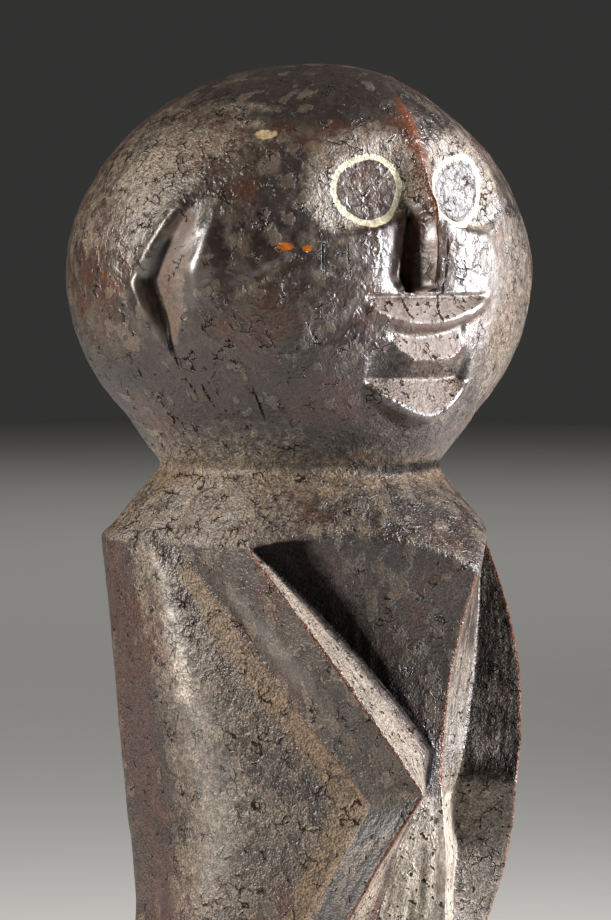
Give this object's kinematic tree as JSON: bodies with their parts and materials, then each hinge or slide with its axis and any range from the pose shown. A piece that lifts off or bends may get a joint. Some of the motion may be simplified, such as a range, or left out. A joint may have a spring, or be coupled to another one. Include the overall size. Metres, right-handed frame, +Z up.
{
  "type": "anthropomorphic statuette",
  "caption": "Standing figure carved from one piece of dark wood with its low round base: large round head with ring eyes, keeled chest and flat arm bands bent forward at the elbows.",
  "frame": {"origin": "centre of the base's flat underside", "axes": "+Z up along the standing figure; the figure's body faces -Y and its right hand is towards -X"},
  "size_m": [0.1165, 0.1084, 0.32],
  "materials": {
    "worn_dark_wood": "dark brown, hand worn satin patina with crackled crust, dust in the hollows and cream rings round the eyes"
  },
  "bodies": {
    "root": {"carved_figure": "worn_dark_wood"}
  },
  "joints": []
}
